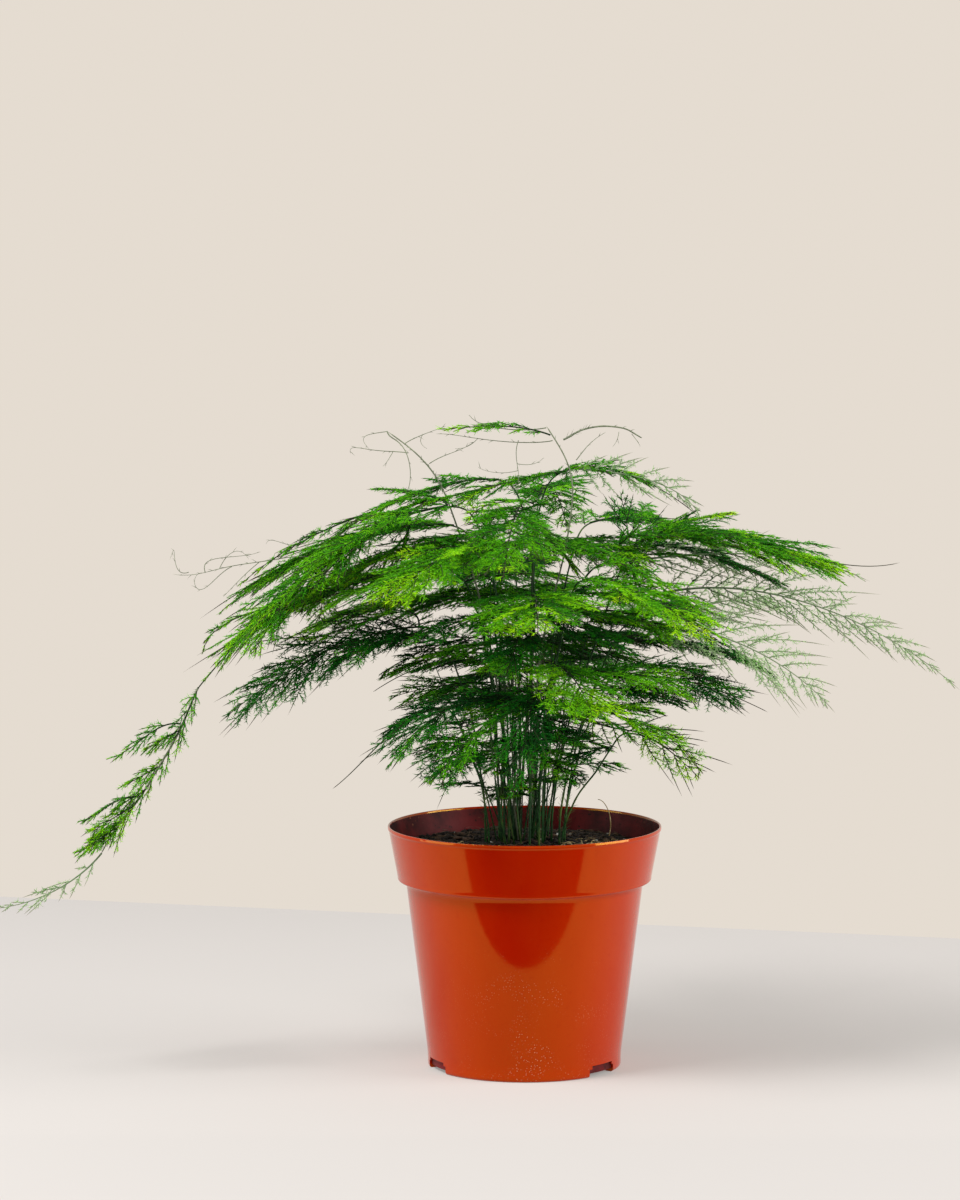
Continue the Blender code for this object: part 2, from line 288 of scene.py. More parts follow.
class Value:
    """A number that varies over a surface. Arithmetic on it adds Math nodes."""

    def __init__(self, finish, socket):
        self.finish, self.socket = finish, socket

    def __add__(self, other):
        return self.finish.maths("ADD", self, other)

    __radd__ = __add__

    def __sub__(self, other):
        return self.finish.maths("SUBTRACT", self, other)

    def __rsub__(self, other):
        return self.finish.maths("SUBTRACT", other, self)

    def __mul__(self, other):
        return self.finish.maths("MULTIPLY", self, other)

    __rmul__ = __mul__

    def from_to(self, low, high):
        """0 where it is below low, 1 where it is above high, and smooth between."""
        return self.finish.node("ShaderNodeMapRange", {"interpolation_type": "SMOOTHSTEP"},
                                {"Value": self, "From Min": low, "From Max": high})


class Finish:
    """A material, with its nodes added by calls. Uniform values go on the shader's own sockets."""

    def __init__(self, name, **uniform):
        self.material = bpy.data.materials.new(name)
        self.material.use_nodes = True
        self.tree = self.material.node_tree
        self.shader = self.tree.nodes["Principled BSDF"]
        for socket, value in uniform.items():
            self.shader.inputs[socket.replace("_", " ")].default_value = value

    def node(self, kind, settings=None, inputs=None, output=0):
        made = self.tree.nodes.new(kind)
        for name, value in (settings or {}).items():
            if name == "stops":
                self.set_stops(made.color_ramp, value)
            else:
                setattr(made, name, value)
        for name, value in (inputs or {}).items():
            if isinstance(value, Value):
                self.tree.links.new(value.socket, made.inputs[name])
            else:
                made.inputs[name].default_value = value
        return Value(self, made.outputs[output])

    @staticmethod
    def set_stops(ramp, stops):
        while len(ramp.elements) < len(stops):
            ramp.elements.new(0.5)
        for element, (place, colour) in zip(ramp.elements, stops):
            element.position = place
            element.color = (*colour, 1.0)

    def maths(self, operation, a, b):
        return self.node("ShaderNodeMath", {"operation": operation}, {0: a, 1: b})

    def ramp(self, amount, stops):
        return self.node("ShaderNodeValToRGB", {"stops": tuple(stops)}, {"Fac": amount})

    def blend(self, amount, low, high, way="MIX"):
        """Colour low where amount is 0, turning to colour high where it is 1."""
        colours = [c if isinstance(c, Value) else (*c, 1.0) for c in (low, high)]
        return self.node("ShaderNodeMix", {"data_type": "RGBA", "blend_type": way},
                         {0: amount, 6: colours[0], 7: colours[1]}, 2)

    def place(self, stretch=(1.0, 1.0, 1.0)):
        own = self.node("ShaderNodeTexCoord", output=3)
        return self.node("ShaderNodeMapping", {}, {"Vector": own, "Scale": stretch})

    def axis(self, number):
        own = self.node("ShaderNodeTexCoord", output=3)
        return self.node("ShaderNodeSeparateXYZ", {}, {"Vector": own}, number)

    def grain(self, scale, detail=3.0, roughness=0.5, stretch=(1.0, 1.0, 1.0)):
        return self.node("ShaderNodeTexNoise", {},
                         {"Vector": self.place(stretch), "Scale": scale, "Detail": detail,
                          "Roughness": roughness})

    def cells(self, scale):
        return self.node("ShaderNodeTexVoronoi", {}, {"Vector": self.place(), "Scale": scale})

    def map_number(self, number):
        on_map = self.node("ShaderNodeUVMap", {"uv_map": MAP})
        return self.node("ShaderNodeSeparateXYZ", {}, {"Vector": on_map}, number)

    def colour(self, value):
        self.tree.links.new(value.socket, self.shader.inputs["Base Color"])

    def roughness(self, value):
        self.tree.links.new(value.socket, self.shader.inputs["Roughness"])

    def bumps(self, height, distance, strength=1.0):
        bump = self.node("ShaderNodeBump", {},
                         {"Height": height, "Distance": distance, "Strength": strength})
        self.tree.links.new(bump.socket, self.shader.inputs["Normal"])


PLASTIC = (0.400, 0.006, 0.0)
PLASTIC_WORN = (0.430, 0.014, 0.0)
PLASTIC_SHADE = (0.365, 0.003, 0.0)
# The inside wall's base colour is darker than the plastic's own: it paints the shade inside the
# pot.
PLASTIC_INSIDE_SHADED = (0.165, 0.014, 0.015)
PLASTIC_STAINED = (0.050, 0.009, 0.009)
PLASTIC_GLINT = (0.90, 0.60, 0.07, 1.0)    # head-on reflections in the plastic are orange
LIME = (0.72, 0.46, 0.34)
LIME_FADES = (0.014, 0.078)     # heights between which the lime specks thin out
LIME_MIDDLE, LIME_WIDTH = 0.003, (0.006, 0.036)


def pot_plastic():
    """Glossy moulded plastic with faint flow marks and lime specks low down."""
    finish = Finish("terracotta_plastic", Specular_IOR_Level=1.0, Specular_Tint=PLASTIC_GLINT)
    height = finish.axis(2)
    flow = finish.grain(26.0, 4.0, 0.55, (1.0, 1.0, 0.35))
    mottle = finish.grain(340.0, 2.0)
    tint = finish.blend(flow.from_to(0.35, 0.7), PLASTIC, PLASTIC_WORN)
    tint = finish.blend(mottle.from_to(0.55, 0.8) * 0.4, tint, PLASTIC_SHADE)
    low = 1.0 - height.from_to(*LIME_FADES)
    aside = finish.maths("ABSOLUTE", finish.axis(0) - LIME_MIDDLE, 0.0)
    middle = 1.0 - aside.from_to(*LIME_WIDTH)
    specks = 1.0 - finish.cells(900.0).from_to(0.06, 0.30)
    patches = finish.grain(75.0, 2.0).from_to(0.42, 0.66)
    lime = specks * patches * low * (0.2 + 0.8 * middle)
    finish.colour(finish.blend(lime * 0.5, tint, LIME))
    finish.roughness(0.045 + 0.05 * flow + 0.5 * lime)
    finish.bumps(0.6 * finish.grain(420.0, 2.0) + 0.5 * flow + 1.5 * lime, 0.00003, 0.3)
    return finish.material


def inner_plastic_shaded():
    """The inside of the wall, dulled by damp peat, its colour darker than the plastic's own as
    painted shade.
    """
    finish = Finish("stained_shaded_plastic", Specular_IOR_Level=0.07)
    stain = finish.grain(60.0, 5.0, 0.6)
    dirt = finish.grain(700.0, 3.0)
    tint = finish.blend(stain.from_to(0.35, 0.65), PLASTIC_INSIDE_SHADED, PLASTIC_STAINED)
    tint = finish.blend(dirt.from_to(0.62, 0.75), tint, (0.012, 0.008, 0.006))
    drops = (1.0 - finish.cells(330.0).from_to(0.10, 0.24)) * stain.from_to(0.50, 0.60)
    finish.colour(finish.blend(drops * 0.6, tint, (0.50, 0.20, 0.10)))
    finish.roughness(0.25 + 0.4 * stain)
    finish.bumps(dirt, 0.0001, 0.5)
    return finish.material


def peat():
    """Dark crumbly peat with brown crumbs."""
    finish = Finish("potting_soil", IOR=1.4)
    crumbs = finish.cells(620.0)
    lumps = finish.grain(150.0, 6.0, 0.65)
    tint = finish.ramp(lumps, ((0.3, (0.006, 0.004, 0.003)), (0.5, (0.018, 0.011, 0.008)),
                               (0.64, (0.045, 0.026, 0.016)), (0.8, (0.10, 0.062, 0.036))))
    finish.colour(finish.blend(crumbs.from_to(0.1, 0.7), tint, (0.008, 0.005, 0.004)))
    finish.roughness(0.75 + 0.25 * lumps)
    finish.bumps(lumps + 0.6 * crumbs, 0.0008, 0.9)
    return finish.material


def dry_bits(name, dark, pale, spots):
    """Straw, roots or perlite: a pale matter with darker streaks and specks."""
    finish = Finish(name, Specular_IOR_Level=0.22)
    streaks = finish.grain(300.0, 4.0, 0.6)
    tint = finish.blend(streaks.from_to(0.35, 0.62), dark, pale)
    finish.colour(finish.blend(finish.grain(1100.0, 2.0).from_to(0.55, 0.8) * spots, tint, dark))
    finish.roughness(0.62 + 0.3 * streaks)
    finish.bumps(streaks, 0.0002, 0.7)
    return finish.material


def stem_skin(name, dark, mid, pale):
    """Wiry green bark, streaked along its length, paler in places."""
    finish = Finish(name, Specular_IOR_Level=0.22)
    streaks = finish.grain(700.0, 3.0, 0.6, (1.0, 1.0, 0.12))
    patches = finish.grain(45.0, 3.0, 0.55)
    tint = finish.blend(streaks.from_to(0.36, 0.66), dark, mid)
    finish.colour(finish.blend(patches.from_to(0.54, 0.72) * 0.8, tint, pale))
    finish.roughness(0.38 + 0.3 * streaks)
    finish.bumps(streaks, 0.00012, 0.6)
    return finish.material


WOOD_EDGE, WOOD_BLUR = 0.16, 0.04       # below this on the map's second number, a strand is woody


def foliage(name, hues, wood):
    """Needles and twigs. The map's first number is hue, from old to young, and its second is
    lightness, partly painted shade and partly random tone, which darkens the leaf colour, with the
    lowest part of it kept for woody strands."""
    finish = Finish(name, Specular_IOR_Level=0.07)
    hue, light = finish.map_number(0), finish.map_number(1)
    leaf = finish.ramp(hue, zip(HUE_STOPS, hues))
    shade = finish.ramp(light, ((WOOD_EDGE, (0.40, 0.45, 0.50)), (0.6, (0.95, 0.95, 0.95)),
                                (1.0, (1.0, 1.0, 1.0))))
    leaf = finish.blend(1.0, leaf, shade, "MULTIPLY")
    bark = finish.ramp(hue, zip(TWIG_STOPS, wood))
    is_leaf = light.from_to(WOOD_EDGE - WOOD_BLUR, WOOD_EDGE + WOOD_BLUR)
    finish.colour(finish.blend(is_leaf, bark, leaf))
    finish.roughness(0.62 - 0.16 * light)
    return finish.material


# The colours of twigs and needles, from the map's lowest hue to its highest.
TWIG_STOPS = (0.0, 0.5, 1.0)
TWIG_BROWN = ((0.008, 0.026, 0.008), (0.022, 0.034, 0.012), (0.050, 0.040, 0.024))
TWIG_GREY = ((0.130, 0.200, 0.100), (0.230, 0.290, 0.170), (0.280, 0.280, 0.200))
HUE_STOPS = (0.0, 0.35, 0.7, 1.0)
HUES = {
    "deep": ((0.001, 0.022, 0.006), (0.003, 0.100, 0.006), (0.020, 0.270, 0.005),
             (0.160, 0.520, 0.005)),
    "mid": ((0.003, 0.080, 0.004), (0.040, 0.310, 0.003), (0.160, 0.570, 0.003),
            (0.400, 0.800, 0.004)),
    "young": ((0.012, 0.180, 0.003), (0.110, 0.480, 0.003), (0.330, 0.760, 0.003),
              (0.580, 0.900, 0.004)),
    "pale": ((0.090, 0.270, 0.050), (0.260, 0.500, 0.150), (0.460, 0.660, 0.300),
             (0.620, 0.760, 0.460)),
}

# ---- pot

RIM_RADIUS = (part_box("pot")[1].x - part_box("pot")[0].x) / 2
POT_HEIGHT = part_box("pot")[1].z
WALL = 0.0011
FLOOR = 0.0014
FOOT_RADIUS = 0.0460
FOOT_HEIGHT = 0.006
UNDERSIDE = 0.0005              # the base's underside stands this much above the foot ring
SPRUE_LOW = 0.0001              # and the small boss at its middle this much
BAND_HEIGHT = 0.0255
BAND_FLARE = 0.0047
BAND_STEP = 0.0039
BAND_LOW = POT_HEIGHT - BAND_HEIGHT
BAND_RADIUS = RIM_RADIUS - BAND_FLARE
BODY_RADIUS = BAND_RADIUS - BAND_STEP
STEP_HEIGHT = 0.0016
TURN_STEPS = 288
ROUNDING_STEPS = 5
NOTCH_ANGLES = (-156.0, -36.0, 84.0)
NOTCH_SIZE = (0.020, 0.019, 0.011)
SOIL_EDGE = POT_HEIGHT - 0.0110
SOIL_MOUND = 0.0035
GAP = 0.0003
SHADE_SHEET_INSETS = (0.00024, 0.00006)      # a dark sheet of painted shade at the foot, just inside the wall
SHADE_SHEET_HEIGHTS = (0.0018, 0.012)
# The pot's second material paints the shade inside the pot with a darker colour.
INSIDE = 1                      # the pot's second material
SHARP_ANGLE = math.radians(42)


def rounded(corners):
    """A row of points of radius and height, from corners that each have a rounding."""
    places = [np.array(corner[:2]) for corner in corners]
    points = []
    for i, (r, z, rounding) in enumerate(corners):
        if not rounding or i in (0, len(corners) - 1):
            points.append((r, z))
            continue
        before, after = unit(places[i - 1] - places[i]), unit(places[i + 1] - places[i])
        for t in even(ROUNDING_STEPS):
            pull = before * (1 - t) ** 2 + after * t**2
            points.append(tuple(places[i] + pull * rounding))
    return points


def turned(profile, steps):
    """A bmesh turned from a profile of radius and height that starts and ends on the axis."""
    bm = bmesh.new()
    verts = [bm.verts.new((r, 0.0, z)) for r, z in profile]
    edges = [bm.edges.new(pair) for pair in zip(verts, verts[1:])]
    bmesh.ops.spin(bm, geom=verts + edges, angle=math.tau, steps=steps, axis=(0, 0, 1),
                   cent=(0, 0, 0), use_merge=True)
    bmesh.ops.remove_doubles(bm, verts=bm.verts, dist=1e-6)
    bmesh.ops.recalc_face_normals(bm, faces=bm.faces)
    return bm


def notch_cutter(angle):
    """A rounded block at one drain notch, which cuts the wall and the floor's edge."""
    bm = bmesh.new()
    bmesh.ops.create_cube(bm, size=1.0)
    bmesh.ops.scale(bm, verts=bm.verts, vec=NOTCH_SIZE)
    bmesh.ops.bevel(bm, geom=bm.edges, offset=0.0016, segments=4, affect="EDGES")
    cutter = linked("notch_cutter", mesh_from(bm, "notch_cutter"))
    turn = math.radians(angle)
    cutter.location = (FOOT_RADIUS * math.cos(turn), FOOT_RADIUS * math.sin(turn), 0.0)
    cutter.rotation_euler = (0.0, 0.0, turn)
    return cutter


def applied(piece):
    """Gives a piece the mesh that its modifiers make, and drops the modifiers."""
    graph = bpy.context.evaluated_depsgraph_get()
    mesh = bpy.data.meshes.new_from_object(piece.evaluated_get(graph))
    piece.modifiers.clear()
    mesh.name = piece.data.name
    piece.data = mesh


def build_pot():
    corners = [
        (0.0, FLOOR, 0), (FOOT_RADIUS - WALL, FLOOR, 0.0008),
        (FOOT_RADIUS - WALL, FOOT_HEIGHT, 0.001),
        (BODY_RADIUS - WALL, BAND_LOW - STEP_HEIGHT + WALL, 0.0012),
        (BAND_RADIUS - WALL, BAND_LOW + WALL, 0.0012),
        (RIM_RADIUS - WALL, POT_HEIGHT - 0.0006, 0.0003),
        (RIM_RADIUS - 0.8 * WALL, POT_HEIGHT, 0.0003), (RIM_RADIUS - 0.0001, POT_HEIGHT, 0.0003),
        (RIM_RADIUS, POT_HEIGHT - 0.0014, 0.0003),
        (RIM_RADIUS - 0.0005, POT_HEIGHT - 0.0021, 0.0003),
        (BAND_RADIUS + 0.0001, BAND_LOW + 0.0016, 0.0006), (BAND_RADIUS, BAND_LOW, 0.0007),
        (BODY_RADIUS + 0.0006, BAND_LOW - 0.5 * STEP_HEIGHT, 0.0006),
        (BODY_RADIUS - 0.0002, BAND_LOW - STEP_HEIGHT - 0.0008, 0.0010),
        (FOOT_RADIUS, FOOT_HEIGHT, 0.003), (FOOT_RADIUS, 0.0, 0.0016),
        (FOOT_RADIUS - 0.004, 0.0, 0.0004), (FOOT_RADIUS - 0.0048, UNDERSIDE, 0.0003),
        (0.006, UNDERSIDE, 0.0002), (0.0052, SPRUE_LOW, 0.0002), (0.0, SPRUE_LOW, 0),
    ]
    mesh = mesh_from(turned(rounded(corners), TURN_STEPS), "pot")
    pot = add_piece("pot_shell", mesh, "pot")
    cutters = [notch_cutter(angle) for angle in NOTCH_ANGLES]
    for cutter in cutters:
        cut = pot.modifiers.new("notch", "BOOLEAN")
        cut.object = cutter
    bpy.context.view_layer.update()
    applied(pot)
    for cutter in cutters:
        bpy.data.objects.remove(cutter)
    pot.data.shade_smooth()
    pot.data.set_sharp_from_angle(angle=SHARP_ANGLE)
    pot.data.materials.append(pot_plastic())
    pot.data.materials.append(inner_plastic_shaded())
    # A thin dark ring in the shaded inside finish, seen only through the notches, where it paints
    # shade.
    least, most = (FOOT_RADIUS - WALL - inset for inset in SHADE_SHEET_INSETS)
    low, high = SHADE_SHEET_HEIGHTS
    outline = [(least, low), (most, low), (most, high), (least, high), (least, low)]
    shade_sheet = mesh_from(turned(outline, TURN_STEPS // 2), "foot_shade_sheet")
    shade_sheet.materials.append(pot.data.materials[INSIDE])
    add_piece("foot_shade_sheet", shade_sheet)
    # The inward faces of the wall get the inside finish, which paints shade.
    for face in pot.data.polygons:
        inwards = face.normal.x * face.center.x + face.normal.y * face.center.y < -0.2 * RIM_RADIUS
        if inwards and FLOOR < face.center.z < POT_HEIGHT - 0.001:
            face.material_index = INSIDE


# ---- soil

SOIL_RINGS = 62
SOIL_TURNS = 280
CRUMB_REACH, FIBRE_REACH = 0.93, 0.90   # how far out they lie, as shares of the soil's radius


def inner_radius(height):
    """The radius of the pot's inner wall at a height."""
    share = (height - BAND_LOW) / BAND_HEIGHT
    return RIM_RADIUS - BAND_FLARE * (1 - share) - WALL - GAP


def soil_height(x, y):
    """The crumbly surface: a low mound with clods, crumbs and a dip along the wall."""
    reach = math.hypot(x, y) / inner_radius(SOIL_EDGE)
    clods = noise.noise(Vector((x * 130, y * 130, 3.0))) * 0.0013
    crumbs = noise.noise(Vector((x * 420, y * 420, 9.0))) * 0.0006
    fine = noise.noise(Vector((x * 1300, y * 1300, 1.0))) * 0.00025
    ease = min(1.0, (1.0 - reach) * 9.0)
    return SOIL_EDGE - 0.0004 + SOIL_MOUND * (1 - reach**2) + (clods + crumbs + fine) * ease


def build_soil():
    reach = inner_radius(SOIL_EDGE)
    turns = [math.tau * k / SOIL_TURNS for k in range(SOIL_TURNS)]
    circle = np.array([(math.cos(a), math.sin(a)) for a in turns])
    verts = [(0.0, 0.0, soil_height(0.0, 0.0))]
    for ring in range(1, SOIL_RINGS + 1):
        verts += [(x, y, soil_height(x, y)) for x, y in circle * (reach * ring / SOIL_RINGS)]
    foot = FOOT_RADIUS - WALL - GAP
    sides = ((inner_radius(0.0895), 0.0906), (BODY_RADIUS - WALL - GAP, 0.0888),
             (foot, FOOT_HEIGHT), (foot, FLOOR + GAP))
    for r, z in sides:
        verts += [(x, y, z) for x, y in circle * r]
    verts.append((0.0, 0.0, sides[-1][1]))
    loops, sizes = [], []
    rows = SOIL_RINGS + len(sides)
    for k in range(SOIL_TURNS):
        step = (k + 1) % SOIL_TURNS
        loops += [0, 1 + k, 1 + step]
        sizes.append(3)
        for row in range(rows - 1):
            a = 1 + row * SOIL_TURNS
            loops += [a + k, a + SOIL_TURNS + k, a + SOIL_TURNS + step, a + step]
            sizes.append(4)
        a = 1 + (rows - 1) * SOIL_TURNS
        loops += [a + k, len(verts) - 1, a + step]
        sizes.append(3)
    verts = np.array(verts)
    shape = Shape()
    shape.add(verts, np.array(loops), np.array(sizes), verts[:, :2] / (2.2 * reach) + 0.5)
    shape.build("soil_body", peat(), "soil")


def scattered(rng, count, reach):
    """The x and the y of places spread evenly over a disc."""
    radius, angle = reach * np.sqrt(rng.random(count)), rng.uniform(0, math.tau, count)
    return radius * np.cos(angle), radius * np.sin(angle)


def crumbs(rng, count, least, most, name, finish, flat=0.7):
    """Rough little lumps strewn all over the soil. flat is their height, for a width of 1."""
    bm = bmesh.new()
    bmesh.ops.create_icosphere(bm, subdivisions=1, radius=1.0)
    ball = np.array([v.co[:] for v in bm.verts])
    faces = np.array([[v.index for v in f.verts] for f in bm.faces])
    bm.free()
    x, y = scattered(rng, count, inner_radius(SOIL_EDGE) * CRUMB_REACH)
    z = np.array([soil_height(a, b) for a, b in zip(x, y)])
    size = least * (most / least) ** rng.random(count)
    stretch = rng.uniform(0.55, 1.3, (count, 1, 3)) * size[:, None, None]
    stretch[:, :, 2] *= flat
    rough = rng.uniform(0.72, 1.22, (count, len(ball), 1))
    turn = rng.uniform(0, math.tau, count)
    lump = ball[None] * rough * stretch
    turned_x = lump[..., 0] * np.cos(turn)[:, None] - lump[..., 1] * np.sin(turn)[:, None]
    turned_y = lump[..., 0] * np.sin(turn)[:, None] + lump[..., 1] * np.cos(turn)[:, None]
    verts = np.stack([turned_x + x[:, None], turned_y + y[:, None],
                      lump[..., 2] + (z + 0.25 * size)[:, None]], 2)
    loops = faces.ravel()[None] + np.arange(count)[:, None] * len(ball)
    tones = np.tile(ball[:, :2] * 0.45 + 0.5, (count, 1))
    shape = Shape()
    shape.add(verts.reshape(-1, 3), loops.ravel(), np.full(count * len(faces), 3), tones)
    shape.build(name, finish)


def strewn(rng, count, lengths, radius, name, finish, around=None, lift=0.15):
    """Thin fibres lying on the soil, some with one end in the air."""
    reach = inner_radius(SOIL_EDGE) * FIBRE_REACH
    if around is None:
        x, y = scattered(rng, count, reach)
    else:
        x, y = (np.array(around)[rng.integers(0, len(around), count)]
                + rng.normal(0, 0.006, (count, 2))).T
    angle = rng.uniform(0, math.tau, count)
    length = rng.uniform(*lengths, count)
    start = np.stack([x, y, [soil_height(a, b) + 0.0006 for a, b in zip(x, y)]], 1)
    rise = abs(rng.normal(0, lift, count))
    ahead = np.stack([np.cos(angle), np.sin(angle), rise * 2], 1) * length[:, None]
    bend = np.stack([-np.sin(angle) * rng.normal(0, 0.4, count),
                     np.cos(angle) * rng.normal(0, 0.4, count), -rise * 1.4], 1) * length[:, None]
    lines = Shoots(start, ahead, bend, None).lines(7)
    out = np.linalg.norm(lines[..., :2], axis=2) / reach
    lines[..., :2] /= np.maximum(out, 1.0)[..., None]
    radii = rng.uniform(0.6, 1.2, (count, 1)) * radius * even(7, 1.0, 0.5)
    tones = np.stack([rng.random((count, 1)) + even(7, 0, 0.1),
                      rng.random((count, 1)) + even(7, 0, 0.1)], 2)
    shape = Shape()
    shape.tubes(lines, radii, 5, tones)
    shape.build(name, finish)


STRAW_PLACES = ((0.026, -0.022), (0.030, -0.012), (0.038, 0.006), (-0.026, -0.034),
                (-0.034, -0.020))
ROOT_ARC = ((0.0400, 0.018, 0.1060), (0.0412, 0.020, 0.1125), (0.0402, 0.022, 0.1185),
            (0.0378, 0.024, 0.1225), (0.0350, 0.026, 0.1236))


def build_litter():
    rng = np.random.default_rng(11)
    dark = peat()
    crumbs(rng, 1500, 0.0006, 0.0021, "peat_crumbs", dark)
    crumbs(rng, 90, 0.0018, 0.0034, "bark_chips",
           dry_bits("bark", (0.020, 0.011, 0.007), (0.110, 0.060, 0.035), 0.6), flat=0.4)
    crumbs(rng, 60, 0.0005, 0.0013, "perlite",
           dry_bits("perlite", (0.45, 0.42, 0.36), (0.86, 0.84, 0.78), 0.2))
    fibre = dry_bits("peat_fibre", (0.050, 0.030, 0.018), (0.200, 0.130, 0.075), 0.5)
    strewn(rng, 420, (0.003, 0.012), 0.00013, "peat_fibres", fibre)
    straw = dry_bits("straw", (0.26, 0.16, 0.055), (0.66, 0.50, 0.26), 0.3)
    strewn(rng, 64, (0.003, 0.009), 0.00030, "straw", straw, STRAW_PLACES, 0.32)
    root = Shape()
    root.wire(Path(ROOT_ARC, 4).at(even(30)), 0.00030, 0.5, 7)
    root.build("dry_root", straw)


# ---- stems

STEM_BASE = 0.00046
STEM_TOP = 0.00036
SHOOT_BASE, SHOOT_TOP = 0.00046, 0.00028
STEM_POINTS, JOIN_FROM = 46, 32         # the join with the midrib is eased from the 32nd point on
BARE = ("climbing_shoot", "crown_twig", "forked_shoot", "trailing_shoot")


def bracts(shape, rng, path, gap, first, last, length, radius, tone):
    """Small scales and spurs that point up along a stem."""
    which, share, _ = spaced(rng, np.array([path.length]), gap, first, last)
    place, ahead = path.at(share), path.heading(share)
    out = unit(np.cross(ahead, unit(rng.normal(size=(len(share), 3)))))
    step = ahead * 0.8 + out * rng.uniform(0.35, 1.0, (len(share), 1))
    reach = rng.uniform(0.4, 1.0, (len(share), 1)) * length
    middle = place + step * reach * 0.5 + UP * reach * 0.05
    lines = np.stack([place, middle, place + step * reach], 1)
    radii = np.broadcast_to(radius * np.array((1.0, 0.7, 0.0)), (len(share), 3))
    shape.tubes(lines, radii, 4, np.broadcast_to(tone, (len(share), 3, 2)))


def joined_line(node):
    """The stem's line, carried on into the midrib of the spray at its end."""
    line = stem_line(node).at(even(STEM_POINTS))
    spray_node = node.replace("stem_", "spray_")
    if spray_node not in frame["nodes"] or spray_node == node:
        return line
    rib = blade_shape(spray_node)[0].at(even(9, 0.02, 0.20))
    line = np.concatenate([line, rib])
    for _ in range(7):
        eased = (line[:-2] + 2 * line[1:-1] + line[2:]) / 4
        line[JOIN_FROM:-1] = eased[JOIN_FROM - 1:]
    return line


def build_stem(node, rng, finish, base, top):
    path = stem_line(node)
    line = joined_line(node)
    share = even(len(line))
    sway = rng.uniform(0, math.tau, 2)
    wave = np.stack([np.sin(share * 19 + sway[0]), np.cos(share * 16 + sway[1]), 0 * share], 1)
    line += wave * 0.00035 * np.sin(share * math.pi)[:, None]
    knots = 1 + 0.16 * np.maximum(0, np.sin(share * path.length / 0.0075 * math.tau / 2)) ** 6
    radii = (base + (top - base) * share) * knots
    shape = Shape()
    shape.tubes(line[None], radii[None], 8, woody(0.1 + 0.5 * share)[None])
    bracts(shape, rng, path, 0.0036, 0.02, 0.96, 0.0026, 0.00018, (0.3, 0.06))
    if base == STEM_BASE:
        bracts(shape, rng, path, 0.0011, 0.02, 0.36, 0.0048, 0.00012, (0.6, 0.06))
    shape.build(f"{node}_wire", finish, node)


def build_stems():
    rng = np.random.default_rng(5)
    green = stem_skin("stem_green", (0.006, 0.034, 0.008), (0.022, 0.105, 0.016),
                      (0.120, 0.190, 0.035))
    grey = stem_skin("shoot_grey", (0.130, 0.150, 0.095), (0.210, 0.240, 0.150),
                     (0.320, 0.350, 0.230))
    for node in sorted(frame["nodes"]):
        if node.startswith("stem_"):
            build_stem(node, rng, green, STEM_BASE, STEM_TOP)
        elif node in BARE:
            build_stem(node, rng, grey, SHOOT_BASE, SHOOT_TOP)
    return green, grey


# ---- sprays

# How the sprays of each tone grow. gap is the room between side shoots, angle the degrees at
# which the first and the last leave the midrib, needle the shortest and longest needle, close
# the room between needles, tip the bare share of each side shoot, twig a twig's share of its
# shoot, hue and ripen the map's hue at the base and how much it grows to the tip, droop the sag,
# and facing how far the spray's plane tips towards the front, in radians.
Habit = namedtuple("Habit", "gap angle needle close tip twig hue ripen droop facing")

HABITS = {tone: Habit(*row) for tone, row in {
    "deep": (0.0062, (56, 26), (0.0020, 0.0040), 0.00056, 0.16, 0.30, 0.30, 0.35, 0.13, 0.10),
    "mid": (0.0064, (52, 24), (0.0020, 0.0040), 0.00056, 0.18, 0.29, 0.34, 0.38, 0.12, 0.10),
    "young": (0.0062, (54, 28), (0.0022, 0.0042), 0.00054, 0.08, 0.32, 0.12, 0.62, 0.12, 0.12),
    "pale": (0.0070, (50, 36), (0.0016, 0.0030), 0.00062, 0.22, 0.15, 0.48, 0.30, 0.08, 0.80),
    "lime": (0.0060, (50, 40), (0.0016, 0.0030), 0.00070, 0.30, 0.14, 0.50, 0.30, 0.08, 0.70),
    "trail": (0.0066, (44, 30), (0.0018, 0.0036), 0.00060, 0.14, 0.40, 0.58, 0.22, 0.20, 0.50),
}.items()}
NEEDLE_RADIUS = 0.00023
TWIG_LONGEST = 0.0075
SHOOT_RADII = (0.00030, 0.00017)
TWIG_RADII = (0.00017, 0.00010)
RIB_BASE, RIB_TIP = 0.00034, 0.00016


